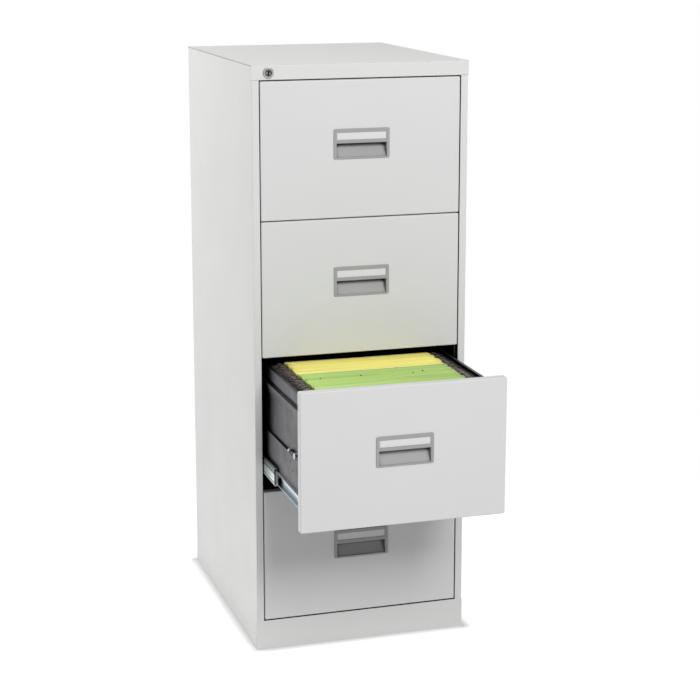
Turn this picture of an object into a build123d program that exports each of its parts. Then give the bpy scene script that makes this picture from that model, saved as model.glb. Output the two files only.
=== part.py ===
from build123d import *
import os
from math import cos, radians, sin

# Steel filing cabinet with four drawers, the third one standing open.
# Millimetres. X runs to the right, Y to the back, Z up. The origin is on the floor,
# in the middle of the footprint.

# Overall size
cabinet_width = 495.0
cabinet_depth = 622.0
cabinet_height = 1321.0

# Sheet thicknesses and bends
panel_sheet = 1.0
base_sheet = 1.2
upright_sheet = 1.5
rail_sheet = 1.2
panel_bend = 1.8
small_bend = 0.7
cut_margin = 1.0

# Front layout
plinth_height = 67.3
header_height = 32.0
stile_width = 17.5
stile_return = 20.0
drawer_count = 4
drawer_gap = 2.5
side_gap = 2.0
open_distance = 303.6

# Carcass details
base_height = 31.0
base_flange = 20.0
top_lip = 3.0
back_flange = 15.0
upright_width = 40.0
front_upright_gap = 6.0
rear_upright_inset = 70.0

# Drawer fronts
front_depth = 18.5
front_corner = 3.0
front_edge = 2.6
front_hem = 20.0

# Drawer bodies, the first heights measured up from the bottom edge of the drawer's front
body_length = 560.0
body_bottom = 40.0
doubler_top = 142.0
doubler_step = 5.5
bottom_flange = 21.0

# Upper part of the drawer sides, measured down from the top edge of the drawer's front
side_drop = 20.4
side_hem = 7.0
upper_band = 23.9
groove_width = 4.0
groove_slope = 2.0
groove_depth = 3.0
ridge_land = 4.0
ridge_rise = 23.0
ridge_height = 6.0
tray_front_drop = 52.3
tray_back_drop = 46.3
tray_clearance = 0.2

# Small holes through the drawer sides, seen from the face of the drawer's front
side_hole_radius = 2.2
side_hole_distance = 96.0
side_hole_height = 108.0
side_hole_step = 17.0
side_hole_count = 2

# Slides, one pair to each drawer
slide_height = 61.0
slide_length = 560.0
slide_setback = 22.0
slide_space = 12.7
slide_recess = 1.2
outer_rail_height = 45.8
outer_rail_lip = 7.7
mid_rail_height = 36.6
mid_rail_setback = 38.0
mid_rail_offset = 1.8
mid_rail_lip = 6.5
inner_rail_height = 27.0
inner_rail_lip = 7.0
ball_strip_clearance = 0.4
ball_strip_width = 4.0

# Handles, heights from the middle of the handle
handle_width = 128.0
handle_height = 66.5
handle_corner = 4.0
handle_proud = 1.8
handle_edge = 0.8
handle_rise = 11.0
window_width = 113.0
window_height = 16.0
window_top = 8.0
crossbar_height = 7.5
recess_width = 115.0
recess_height = 31.0
recess_depth = 16.0
recess_foot_depth = 1.0
recess_wall = 1.5
cutout_clearance = 0.2
card_thickness = 0.4
card_margin = 1.5
card_clearance = 0.3

# Hanging rails and hanging files
hanging_rail_inset = 17.0
hanging_rail_drop = 27.3
hanging_rail_lip = 13.0
hanging_rail_end_gap = 1.5
file_inset = 24.0
file_drop = 16.9
file_floor_gap = 8.4
file_start = 24.0
file_pitch = 16.6
file_gap = 0.5
file_shoulder = 1.2
file_shoulder_drop = 12.0
file_fold_depth = 4.0
file_bottom_share = 0.6
green_file_count = 12
yellow_file_count = 7
hook_overhang = 8.0
hook_thickness = 5.2
hooks_per_file = 2
hook_root = 15.0
hook_grip = 5.0
hook_seat = 2.4
hook_clearance = 0.3
hook_drop = 1.0

# Ties that hold each drawer's front to its sides, above the doublers
tie_length = 100.0
tie_radius = 2.6
tie_head_radius = 5.0
tie_head_length = 7.0
tie_lug_length = 14.0
tie_lug_height = 11.0
tie_lug_distance = 45.0
tie_lug_wall = 1.0
tie_clearance = 0.3

# Bolts that hold the inner slide members, one row on each side
bolt_radius = 4.5
bolt_head = 2.6
bolt_spacing = 165.0
bolt_count = 3
bolt_start = 22.0
bolt_taper = 18.0

# Lock
lock_inset = 38.5
lock_drop = 16.5
lock_ring_radius = 12.0
lock_ring_proud = 2.4
lock_ring_edge = 0.9
lock_body_radius = 9.5
lock_depth = 9.7
lock_bore_radius = 7.0
plug_clearance = 0.2
plug_sink = 0.8
plug_hole_clearance = 0.3
keyway_width = 1.6
keyway_height = 7.5
keyway_depth = 4.0
cam_sheet = 2.0
cam_hub_radius = 6.0
cam_pin_distance = 8.0
cam_pin_radius = 2.5
cam_pin_length = 5.0
cam_tip_radius = 4.0
cam_turn = 90.0

# Lock bar, which the cam lifts behind the left stile
bar_width = 12.0
bar_sheet = 2.0
bar_clearance = 0.3
bar_gap = 1.0
bar_tail = 14.0
fork_half_height = 7.0
fork_clearance = 0.6
fork_overrun = 3.5
tab_height = 12.0
tab_drop = 40.0
catch_clearance = 1.0
guide_height = 10.0
guide_wall = 2.0
guide_clearance = 0.3
guide_count = 3

# Places that follow from the sizes above
open_drawer_number = drawer_count - 1
front_y = -cabinet_depth / 2
back_y = cabinet_depth / 2
header_bottom = cabinet_height - header_height
opening_x = cabinet_width / 2 - stile_width
panel_x = cabinet_width / 2 - panel_sheet
panel_inner_x = panel_x - panel_sheet
panel_top = cabinet_height - panel_sheet
gaps_height = (drawer_count + 1) * drawer_gap
front_height = (header_bottom - plinth_height - gaps_height) / drawer_count
front_width = 2 * (opening_x - side_gap)
rail_plane_x = opening_x + slide_recess
doubler_x = rail_plane_x - slide_space
side_x = doubler_x - doubler_step
side_inner_x = side_x - panel_sheet
groove_x = side_x - groove_depth
side_top = front_height - side_drop
groove_top = side_top - upper_band
ridge_top = groove_top - groove_width - 2 * groove_slope
tray_floor = body_bottom + panel_sheet
hanging_rail_x = side_inner_x - hanging_rail_inset
hanging_rail_top = front_height - hanging_rail_drop
file_half_width = hanging_rail_x - file_inset
file_top = front_height - file_drop
file_foot = tray_floor + panel_sheet + file_floor_gap
handle_height_in_front = front_height / 2 + handle_rise
window_top_edge = handle_height / 2 - window_top
recess_top_edge = window_top_edge - window_height - crossbar_height
recess_bottom_edge = recess_top_edge - recess_height
outer_inner_half = outer_rail_height / 2 - rail_sheet
mid_half = mid_rail_height / 2
mid_web_x = rail_plane_x - rail_sheet - mid_rail_offset
lock_x = -(cabinet_width / 2 - lock_inset)
lock_z = cabinet_height - lock_drop
cam_y = front_y + lock_depth
bar_y = cam_y + cam_sheet + bar_gap
bar_outer_x = opening_x + panel_sheet + bar_clearance
pin_offset = cam_pin_distance * sin(radians(cam_turn / 2))
pin_inset = cam_pin_distance * cos(radians(cam_turn / 2))
bar_travel = 2 * pin_offset
fork_z = lock_z - pin_offset


def level(z):
    """Horizontal plane at height z."""
    return Plane(origin=(0, 0, z))


def facing(y, z=0.0):
    """Upright plane across the cabinet, seen from the front, with its zero at height z."""
    return Plane(origin=(0, y, z), x_dir=(1, 0, 0), z_dir=(0, -1, 0))


def along(x, z=0.0):
    """Upright plane from front to back, seen from the right, with its zero at height z."""
    return Plane(origin=(x, 0, z), x_dir=(0, 1, 0), z_dir=(1, 0, 0))


def folded_sheet(points, thickness, bend, side=Side.LEFT):
    """Section of a sheet folded at the points, its thickness on one side of them."""
    with BuildLine() as outline:
        FilletPolyline(*points, radius=bend)
        offset(amount=thickness, side=side)
    make_face(outline.edges())


def block(x_low, x_high, y_low, y_high):
    """Rectangle between two corners of the sketch."""
    with Locations(((x_low + x_high) / 2, (y_low + y_high) / 2)):
        Rectangle(x_high - x_low, y_high - y_low)


def save(piece, name):
    """Label a finished piece and write it."""
    piece.part.label = name
    export_step(piece.part, f"parts/{name}.step")


def hand(side):
    """Side of the path that the sheet lies on, for the right piece and the left one."""
    return Side.LEFT if side > 0 else Side.RIGHT


def other_hand(side):
    """The opposite of hand."""
    return hand(-side)


def drawer_bottom(number):
    """Height of a front's bottom edge, the first drawer being the top one."""
    steps = drawer_count - number
    return plinth_height + drawer_gap + steps * (front_height + drawer_gap)


def drawer_shift(number):
    """How far a drawer stands open."""
    return open_distance if number == open_drawer_number else 0.0


def make_base_frame():
    """Ring with a flange at its foot and top, and the plinth across the front."""
    with BuildPart() as base:
        with BuildSketch():
            Rectangle(cabinet_width, cabinet_depth)
        extrude(amount=base_height)
        with BuildSketch(level(base_sheet)):
            Rectangle(cabinet_width - 2 * base_sheet, cabinet_depth - 2 * base_sheet)
        extrude(amount=base_height - 2 * base_sheet, mode=Mode.SUBTRACT)
        with BuildSketch():
            Rectangle(cabinet_width - 2 * base_flange, cabinet_depth - 2 * base_flange)
        extrude(amount=base_height, mode=Mode.SUBTRACT)
        with BuildSketch(facing(front_y)):
            block(-cabinet_width / 2, cabinet_width / 2, 0, plinth_height)
        extrude(amount=-base_sheet)
        with BuildSketch(level(plinth_height - base_sheet)):
            block(-panel_inner_x, panel_inner_x, front_y, front_y + stile_return)
        extrude(amount=base_sheet)
    return base


def tab_height_range(number):
    """Lowest and highest point of a lock bar tab at rest."""
    top = drawer_bottom(number) + front_height - tab_drop
    return top - tab_height, top


def cut_tab_slots():
    """Slots in the left stile's return for the tabs of the lock bar."""
    for number in range(1, drawer_count + 1):
        low, high = tab_height_range(number)
        with BuildSketch(along(-opening_x - panel_sheet)) as slot:
            block(
                bar_y - bar_clearance,
                bar_y + bar_sheet + bar_clearance,
                low - catch_clearance,
                high + bar_travel + catch_clearance,
            )
        extrude(slot.sketch, amount=panel_sheet, mode=Mode.SUBTRACT)


def clear_stile_end(side, low, high, depth):
    """Stop the folded stile where the plinth or the header takes its place."""
    inner, outer = sorted((0, side * panel_inner_x))
    with BuildSketch(level(low)) as end:
        block(-cabinet_width / 2, cabinet_width / 2, front_y, front_y + depth)
        block(inner, outer, front_y, front_y + stile_return + cut_margin)
    extrude(end.sketch, amount=high - low, mode=Mode.SUBTRACT)


def make_side_panel(side):
    """Side panel folded round the front into the stile, and round the back."""
    points = [
        (side * opening_x, front_y + stile_return),
        (side * opening_x, front_y),
        (side * panel_x, front_y),
        (side * panel_x, back_y - panel_sheet),
        (side * (panel_x - back_flange), back_y - panel_sheet),
    ]
    with BuildPart() as panel:
        with BuildSketch(level(base_height)):
            folded_sheet(points, panel_sheet, panel_bend, hand(side))
        extrude(amount=panel_top - base_height)
        clear_stile_end(side, base_height, plinth_height, base_sheet)
        clear_stile_end(side, header_bottom, panel_top, panel_sheet)
        if side < 0:
            cut_tab_slots()
    return panel


def make_back_panel():
    """Flat sheet over the flanges of the side panels."""
    with BuildPart() as panel:
        with BuildSketch(facing(back_y)):
            block(-panel_x, panel_x, base_height, panel_top)
        extrude(amount=panel_sheet)
    return panel


def make_top_panel():
    """Top folded down into the header, with a lip over each side panel."""
    points = [
        (back_y, cabinet_height),
        (front_y, cabinet_height),
        (front_y, header_bottom),
        (front_y + stile_return, header_bottom),
    ]
    with BuildPart() as panel:
        with BuildSketch(along(0)):
            folded_sheet(points, panel_sheet, panel_bend)
        extrude(amount=cabinet_width / 2, both=True)
        for side in (-1, 1):
            inner, outer = sorted((side * panel_inner_x, side * cabinet_width / 2))
            with BuildSketch(level(header_bottom)):
                block(inner, outer, front_y + panel_sheet, front_y + stile_return + cut_margin)
            extrude(amount=header_height - panel_sheet, mode=Mode.SUBTRACT)
            inner, outer = sorted((side * panel_x, side * cabinet_width / 2))
            with BuildSketch(level(cabinet_height - top_lip)):
                block(inner, outer, front_y, back_y)
            extrude(amount=top_lip - panel_sheet / 2)
        with BuildSketch(facing(front_y)):
            with Locations((lock_x, lock_z)):
                Circle(lock_body_radius + plug_hole_clearance)
        extrude(amount=-panel_sheet, mode=Mode.SUBTRACT)
        with BuildSketch(level(header_bottom)):
            block(
                -panel_inner_x,
                -opening_x - panel_sheet + bar_clearance,
                bar_y - guide_wall,
                bar_y + bar_sheet + guide_wall,
            )
        extrude(amount=panel_sheet, mode=Mode.SUBTRACT)
    return panel


def make_upright(side, y_low):
    """Channel that stands inside a side panel and carries the slides."""
    points = [
        (side * panel_inner_x, y_low),
        (side * rail_plane_x, y_low),
        (side * rail_plane_x, y_low + upright_width),
        (side * panel_inner_x, y_low + upright_width),
    ]
    with BuildPart() as upright:
        with BuildSketch(level(base_height)):
            folded_sheet(points, upright_sheet, panel_bend, other_hand(side))
        extrude(amount=panel_top - base_height)
    return upright


def channel(web_x, lip, half_height, centre_z, opens_inward):
    """Section of a slide member: a web with two lips."""
    side = 1 if web_x > 0 else -1
    reach = -lip if opens_inward else lip
    lip_x = web_x + side * reach
    points = [
        (lip_x, centre_z - half_height),
        (web_x, centre_z - half_height),
        (web_x, centre_z + half_height),
        (lip_x, centre_z + half_height),
    ]
    sheet_side = hand(side) if opens_inward else other_hand(side)
    folded_sheet(points, rail_sheet, small_bend, sheet_side)


def slide_front(number, share):
    """Front end of a slide member that moves with a share of the drawer's travel."""
    return front_y + slide_setback - share * drawer_shift(number)


def make_cabinet_rails(side):
    """Outer members of the slides on one side, one to each drawer."""
    with BuildPart() as rails:
        for number in range(1, drawer_count + 1):
            height = drawer_bottom(number) + slide_height
            with BuildSketch(facing(slide_front(number, 0.0))):
                channel(side * rail_plane_x, outer_rail_lip, outer_rail_height / 2, height, True)
            extrude(amount=-slide_length)
    return rails


def make_mid_rails(number):
    """Middle members of one drawer's slides, with the strips that hold their balls."""
    height = drawer_bottom(number) + slide_height
    length = slide_length - mid_rail_setback
    end = facing(slide_front(number, 0.5) + mid_rail_setback)
    inner_low = inner_rail_height / 2 + ball_strip_clearance
    inner_high = mid_half - rail_sheet
    outer_high = outer_inner_half - ball_strip_clearance
    strip_x = mid_web_x - rail_sheet
    with BuildPart() as rails:
        for side in (-1, 1):
            with BuildSketch(end):
                channel(side * mid_web_x, mid_rail_lip, mid_half, height, True)
            extrude(amount=-length)
            inner, outer = sorted((side * (strip_x - ball_strip_width), side * strip_x))
            with BuildSketch(end):
                for low, high in ((inner_low, inner_high), (mid_half, outer_high)):
                    block(inner, outer, height + low, height + high)
                    block(inner, outer, height - high, height - low)
            extrude(amount=-length)
    return rails


def make_inner_rails(number):
    """Inner members of one drawer's slides, on the outer faces of its sides."""
    height = drawer_bottom(number) + slide_height
    with BuildPart() as rails:
        for side in (-1, 1):
            with BuildSketch(facing(slide_front(number, 1.0))):
                channel(side * doubler_x, inner_rail_lip, inner_rail_height / 2, height, False)
            extrude(amount=-slide_length)
    return rails


def cut_catch(number, face_y):
    """Slot in the front's left return that the lock bar's tab stands beside."""
    low, high = tab_height_range(number)
    with BuildSketch(along(-front_width / 2)) as slot:
        block(
            face_y + bar_y - front_y - bar_clearance,
            face_y + bar_y - front_y + bar_sheet + bar_clearance,
            low + bar_travel - catch_clearance,
            high + bar_travel + catch_clearance,
        )
    extrude(slot.sketch, amount=panel_sheet, mode=Mode.SUBTRACT)


def make_front(number):
    """Drawer front, a deep pan with a hem round its open back."""
    bottom = drawer_bottom(number)
    middle = bottom + front_height / 2
    face_y = front_y - drawer_shift(number)
    handle_z = bottom + handle_height_in_front
    with BuildPart() as front:
        with BuildSketch(facing(face_y, middle)):
            RectangleRounded(front_width, front_height, front_corner)
        extrude(amount=-front_depth)
        fillet(front.faces().sort_by(Axis.Y)[0].edges(), front_edge)
        with BuildSketch(facing(face_y + panel_sheet, middle)):
            Rectangle(front_width - 2 * front_edge, front_height - 2 * front_edge)
        extrude(amount=-(front_depth - 2 * panel_sheet), mode=Mode.SUBTRACT)
        with BuildSketch(facing(face_y + front_edge, middle)):
            Rectangle(front_width - 2 * panel_sheet, front_height - 2 * panel_sheet)
        extrude(amount=-(front_depth - panel_sheet - front_edge), mode=Mode.SUBTRACT)
        with BuildSketch(facing(face_y + front_depth - panel_sheet, middle)):
            Rectangle(front_width - 2 * front_hem, front_height - 2 * front_hem)
        extrude(amount=-panel_sheet, mode=Mode.SUBTRACT)
        margin = recess_wall + cutout_clearance
        with BuildSketch(facing(face_y, handle_z)):
            block(
                -recess_width / 2 - margin,
                recess_width / 2 + margin,
                recess_bottom_edge - margin,
                recess_top_edge + margin,
            )
        extrude(amount=-panel_sheet, mode=Mode.SUBTRACT)
        cut_catch(number, face_y)
    return front


def make_drawer_side(number, side):
    """Side sheet with its flange, ridge, groove and top hem, and the doubler outside it."""
    bottom = drawer_bottom(number)
    start_y = front_y - drawer_shift(number) + front_depth
    outline = [
        (side_x - bottom_flange, body_bottom),
        (side_x, body_bottom),
        (side_x, ridge_top - ridge_land - ridge_rise),
        (side_x + ridge_height, ridge_top - ridge_land),
        (side_x + ridge_height, ridge_top),
        (groove_x, ridge_top + groove_slope),
        (groove_x, groove_top - groove_slope),
        (side_x, groove_top),
        (side_x, side_top),
        (side_x - side_hem, side_top),
    ]
    doubler = [
        (side_x - panel_sheet / 2, body_bottom),
        (doubler_x, body_bottom),
        (doubler_x, doubler_top),
    ]
    with BuildPart() as wall:
        for section in (outline, doubler):
            points = [(side * x, z) for x, z in section]
            with BuildSketch(facing(start_y, bottom)):
                folded_sheet(points, panel_sheet, small_bend, hand(side))
            extrude(amount=-body_length)
        with BuildSketch(along(side * doubler_x, bottom)):
            for index in range(side_hole_count):
                step = index * side_hole_step
                hole_y = start_y - front_depth + side_hole_distance + step
                with Locations((hole_y, side_hole_height + step)):
                    Circle(side_hole_radius)
        extrude(amount=-side * panel_sheet, mode=Mode.SUBTRACT)
    return wall


def make_tray(number):
    """Bottom of the drawer, folded up into its inner front and its back."""
    bottom = drawer_bottom(number)
    start_y = front_y - drawer_shift(number) + front_depth
    points = [
        (start_y + body_length, front_height - tray_back_drop),
        (start_y + body_length, tray_floor),
        (start_y, tray_floor),
        (start_y, front_height - tray_front_drop),
    ]
    with BuildPart() as tray:
        with BuildSketch(along(0, bottom)):
            folded_sheet(points, panel_sheet, small_bend, Side.RIGHT)
        extrude(amount=groove_x - panel_sheet - tray_clearance, both=True)
    return tray


def make_hanging_rails(number):
    """Pair of angles along the sides, whose upright lips carry the hanging files."""
    bottom = drawer_bottom(number)
    start_y = front_y - drawer_shift(number) + front_depth + panel_sheet + hanging_rail_end_gap
    length = body_length - 2 * (panel_sheet + hanging_rail_end_gap)
    with BuildPart() as rails:
        for side in (-1, 1):
            points = [
                (side * side_inner_x, hanging_rail_top - hanging_rail_lip),
                (side * hanging_rail_x, hanging_rail_top - hanging_rail_lip),
                (side * hanging_rail_x, hanging_rail_top),
            ]
            with BuildSketch(facing(start_y, bottom)):
                folded_sheet(points, rail_sheet, small_bend, other_hand(side))
            extrude(amount=-length)
    return rails


def make_handle(number):
    """Moulded handle: a bezel with a label window above a sloping finger recess."""
    face_y = front_y - drawer_shift(number)
    handle_z = drawer_bottom(number) + handle_height_in_front
    recess_back = face_y + recess_depth
    shell_back = recess_back + recess_wall
    shell = [
        (face_y, recess_bottom_edge - recess_wall),
        (face_y, recess_top_edge + recess_wall),
        (shell_back, recess_top_edge + recess_wall),
        (shell_back, recess_top_edge - 2 * recess_wall),
        (face_y + 2 * recess_wall, recess_bottom_edge - recess_wall),
    ]
    recess = [
        (face_y - handle_proud, recess_bottom_edge),
        (face_y - handle_proud, recess_top_edge),
        (recess_back, recess_top_edge),
        (recess_back, recess_top_edge - 2 * recess_wall),
        (face_y + recess_foot_depth, recess_bottom_edge),
    ]
    with BuildPart() as handle:
        with BuildSketch(facing(face_y, handle_z)):
            RectangleRounded(handle_width, handle_height, handle_corner)
        extrude(amount=handle_proud)
        fillet(handle.faces().sort_by(Axis.Y)[0].edges(), handle_edge)
        with BuildSketch(along(0, handle_z)):
            Polygon(*shell, align=None)
        extrude(amount=recess_width / 2 + recess_wall, both=True)
        with BuildSketch(along(0, handle_z)):
            Polygon(*recess, align=None)
        extrude(amount=recess_width / 2, both=True, mode=Mode.SUBTRACT)
        with BuildSketch(facing(face_y, handle_z)):
            block(
                -window_width / 2,
                window_width / 2,
                window_top_edge - window_height,
                window_top_edge,
            )
        extrude(amount=handle_proud, mode=Mode.SUBTRACT)
        with BuildSketch(facing(face_y, handle_z)):
            card_sketch(card_clearance)
        extrude(amount=card_thickness, mode=Mode.SUBTRACT)
    return handle


def card_sketch(clearance):
    """Outline of the label card behind the window, or of the pocket that it lies in."""
    reach = card_margin + clearance
    block(
        -window_width / 2 - reach,
        window_width / 2 + reach,
        window_top_edge - window_height - reach,
        window_top_edge + reach,
    )


def make_label_card(number):
    """Blank card that lies in the handle's pocket, against the drawer front."""
    face_y = front_y - drawer_shift(number)
    with BuildPart() as card:
        with BuildSketch(facing(face_y, drawer_bottom(number) + handle_height_in_front)):
            card_sketch(0.0)
        extrude(amount=card_thickness)
    return card


def add_front_tie(side, start_y, height):
    """Screw above a doubler that draws the front against the side, with its lug."""
    tie_x = side_x + tie_head_radius + tie_clearance
    with BuildSketch(facing(start_y, height)) as shank:
        with Locations((side * tie_x, 0)):
            Circle(tie_radius)
    extrude(shank.sketch, amount=-tie_length)
    with BuildSketch(facing(start_y + tie_length - tie_head_length, height)) as head:
        with Locations((side * tie_x, 0)):
            RegularPolygon(tie_head_radius, 6)
    extrude(head.sketch, amount=-tie_head_length)
    inner, outer = sorted((side * side_x, side * (tie_x + tie_radius + tie_lug_wall)))
    with BuildSketch(facing(start_y + tie_lug_distance, height)) as lug:
        block(inner, outer, -tie_head_radius, tie_lug_height - tie_head_radius)
    extrude(lug.sketch, amount=-tie_lug_length)


def make_fasteners(number):
    """Ties at the front of the drawer and the bolts in its inner slide members."""
    start_y = front_y - drawer_shift(number) + front_depth
    slide_z = drawer_bottom(number) + slide_height
    tie_z = drawer_bottom(number) + doubler_top + tie_head_radius + tie_clearance
    with BuildPart() as fasteners:
        for side in (-1, 1):
            add_front_tie(side, start_y, tie_z)
            for index in range(bolt_count):
                bolt_y = start_y + bolt_start + index * bolt_spacing
                with BuildSketch(along(side * (doubler_x + rail_sheet), slide_z)):
                    with Locations((bolt_y, 0)):
                        Circle(bolt_radius)
                extrude(amount=side * bolt_head, taper=bolt_taper)
    return fasteners


def file_profile(count, first):
    """Sections of hanging files in a row, each with two folds over its bars at the top."""
    for index in range(first, first + count):
        low = index * file_pitch
        high = low + file_pitch - file_gap
        middle = (low + high) / 2
        foot = (high - low) * file_bottom_share / 2
        Polygon(
            (middle - foot, file_foot),
            (middle + foot, file_foot),
            (high, file_top - file_shoulder_drop),
            (high - file_shoulder, file_top),
            (middle + file_shoulder, file_top),
            (middle, file_top - file_fold_depth),
            (middle - file_shoulder, file_top),
            (low + file_shoulder, file_top),
            (low, file_top - file_shoulder_drop),
            align=None,
        )


def file_plane(x):
    """Plane along the open drawer whose zero is the front of its first file."""
    start_y = front_y - drawer_shift(open_drawer_number) + file_start
    return Plane(
        origin=(x, start_y, drawer_bottom(open_drawer_number)),
        x_dir=(0, 1, 0),
        z_dir=(1, 0, 0),
    )


def make_files(count, first):
    """Set of hanging files of one colour, side by side across the drawer."""
    with BuildPart() as files:
        with BuildSketch(file_plane(0)):
            file_profile(count, first)
        extrude(amount=file_half_width, both=True)
    return files


def make_file_hooks():
    """Ends of the files' plastic bars, hooked over the lips of the hanging rails."""
    start_y = front_y - drawer_shift(open_drawer_number) + file_start
    bottom = drawer_bottom(open_drawer_number)
    inner_x = file_half_width + hook_clearance
    outer_x = hanging_rail_x + hook_overhang
    top = file_top - hook_drop
    hook_pitch = file_pitch / hooks_per_file
    seat_low = hanging_rail_x - hook_seat / 2
    seat_high = hanging_rail_x + rail_sheet + hook_seat / 2
    outline = [
        (inner_x, top - hook_root),
        (inner_x, top),
        (outer_x, top),
        (outer_x, hanging_rail_top - hook_grip),
        (seat_high, hanging_rail_top - hook_grip),
        (seat_high, hanging_rail_top),
        (seat_low, hanging_rail_top),
        (seat_low, top - hook_root),
    ]
    with BuildPart() as hooks:
        for side in (-1, 1):
            points = [(side * x, z) for x, z in outline]
            for index in range(hooks_per_file * (green_file_count + yellow_file_count)):
                hook_y = start_y + (index + 0.5) * hook_pitch - hook_thickness / 2
                with BuildSketch(facing(hook_y, bottom)):
                    Polygon(*points, align=None)
                extrude(amount=-hook_thickness)
    return hooks


def make_lock_housing():
    """Lock barrel through the header, with its ring in front."""
    with BuildPart() as housing:
        with BuildSketch(facing(front_y, lock_z)):
            with Locations((lock_x, 0)):
                Circle(lock_ring_radius)
        extrude(amount=lock_ring_proud)
        fillet(housing.faces().sort_by(Axis.Y)[0].edges(), lock_ring_edge)
        with BuildSketch(facing(front_y, lock_z)):
            with Locations((lock_x, 0)):
                Circle(lock_body_radius)
        extrude(amount=-lock_depth)
        with BuildSketch(facing(front_y - lock_ring_proud, lock_z)):
            with Locations((lock_x, 0)):
                Circle(lock_bore_radius)
        extrude(amount=-(lock_depth + lock_ring_proud), mode=Mode.SUBTRACT)
    return housing


def make_lock_plug():
    """Turning plug with its keyway."""
    plug_front = front_y - lock_ring_proud + plug_sink
    with BuildPart() as plug:
        with BuildSketch(facing(plug_front, lock_z)):
            with Locations((lock_x, 0)):
                Circle(lock_bore_radius - plug_clearance)
        extrude(amount=-(cam_y - plug_front))
        with BuildSketch(facing(plug_front, lock_z)):
            with Locations((lock_x, 0)):
                Rectangle(keyway_width, keyway_height)
        extrude(amount=-keyway_depth, mode=Mode.SUBTRACT)
    return plug


def make_lock_cam():
    """Cam on the back of the plug, with the pin that lifts the lock bar."""
    pin_x = lock_x - pin_inset
    pin_z = lock_z - pin_offset
    with BuildPart() as cam:
        with BuildSketch(facing(cam_y)):
            with Locations((lock_x, lock_z)):
                Circle(cam_hub_radius)
            with Locations((pin_x, pin_z)):
                Circle(cam_tip_radius)
            make_hull()
        extrude(amount=-cam_sheet)
        with BuildSketch(facing(cam_y + cam_sheet)):
            with Locations((pin_x, pin_z)):
                Circle(cam_pin_radius)
        extrude(amount=-cam_pin_length)
    return cam


def make_lock_bar():
    """Flat bar behind the left stile, with a tab beside each drawer front."""
    lowest = tab_height_range(drawer_count)[0] - bar_tail
    tab_tip = -(front_width / 2 + bar_clearance)
    with BuildPart() as bar:
        with BuildSketch(facing(bar_y)):
            block(-bar_outer_x - bar_width, -bar_outer_x, lowest, fork_z - fork_half_height)
            for number in range(1, drawer_count + 1):
                low, high = tab_height_range(number)
                block(-bar_outer_x - bar_width / 2, tab_tip, low, high)
        extrude(amount=-bar_sheet)
    return bar


def make_lock_bar_fork():
    """Fork on top of the lock bar, open towards the lock, that the cam's pin lifts."""
    slot_half = cam_pin_radius + fork_clearance
    slot_left = lock_x - cam_pin_distance - cam_pin_radius - fork_clearance
    slot_right = lock_x - pin_inset + cam_pin_radius + fork_overrun
    with BuildPart() as fork:
        with BuildSketch(facing(bar_y)):
            block(
                -bar_outer_x - bar_width,
                slot_right,
                fork_z - fork_half_height,
                fork_z + fork_half_height,
            )
            with Locations(((slot_left + slot_right) / 2, fork_z)):
                Rectangle(slot_right - slot_left, 2 * slot_half, mode=Mode.SUBTRACT)
        extrude(amount=-bar_sheet)
    return fork


def make_bar_guides():
    """Guides between the stile's return and the side panel that the lock bar runs in."""
    inner = -(opening_x + panel_sheet)
    slot_left = -bar_outer_x - bar_width - guide_clearance
    with BuildPart() as guides:
        for index in range(1, guide_count + 1):
            guide_z = drawer_bottom(index) - drawer_gap - guide_height / 2
            with BuildSketch(level(guide_z)):
                block(
                    -panel_inner_x,
                    inner,
                    bar_y - guide_clearance - guide_wall,
                    bar_y + bar_sheet + guide_clearance + guide_wall,
                )
                with Locations(((slot_left + inner) / 2, bar_y + bar_sheet / 2)):
                    Rectangle(
                        inner - slot_left,
                        bar_sheet + 2 * guide_clearance,
                        mode=Mode.SUBTRACT,
                    )
            extrude(amount=guide_height)
    return guides


def write_carcass():
    """Write the fixed pieces of the cabinet."""
    front_post_y = front_y + stile_return + front_upright_gap
    rear_post_y = back_y - rear_upright_inset - upright_width
    save(make_base_frame(), "base_frame")
    save(make_side_panel(-1), "left_side_panel")
    save(make_side_panel(1), "right_side_panel")
    save(make_back_panel(), "back_panel")
    save(make_top_panel(), "top_panel")
    save(make_upright(-1, front_post_y), "front_left_upright")
    save(make_upright(1, front_post_y), "front_right_upright")
    save(make_upright(-1, rear_post_y), "rear_left_upright")
    save(make_upright(1, rear_post_y), "rear_right_upright")
    save(make_cabinet_rails(-1), "left_cabinet_rails")
    save(make_cabinet_rails(1), "right_cabinet_rails")


def write_lock():
    """Write the lock and the bar that it lifts."""
    save(make_lock_housing(), "lock_housing")
    save(make_lock_plug(), "lock_plug")
    save(make_lock_cam(), "lock_cam")
    save(make_lock_bar(), "lock_bar")
    save(make_lock_bar_fork(), "lock_bar_fork")
    save(make_bar_guides(), "lock_bar_guides")


def write_drawer(number):
    """Write the pieces of one drawer and of its slides."""
    name = f"drawer_{number}"
    save(make_front(number), f"{name}_front")
    save(make_tray(number), f"{name}_tray")
    save(make_drawer_side(number, -1), f"{name}_left_side")
    save(make_drawer_side(number, 1), f"{name}_right_side")
    save(make_hanging_rails(number), f"{name}_hanging_rails")
    save(make_handle(number), f"{name}_handle")
    save(make_label_card(number), f"{name}_label_card")
    save(make_mid_rails(number), f"{name}_mid_rails")
    save(make_inner_rails(number), f"{name}_inner_rails")
    save(make_fasteners(number), f"{name}_fasteners")


def write_files():
    """Write the hanging files in the open drawer."""
    save(make_files(green_file_count, 0), "hanging_files_green")
    save(make_files(yellow_file_count, green_file_count), "hanging_files_yellow")
    save(make_file_hooks(), "file_hooks")


os.makedirs("parts", exist_ok=True)
write_carcass()
write_lock()
for drawer_number in range(1, drawer_count + 1):
    write_drawer(drawer_number)
write_files()
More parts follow.
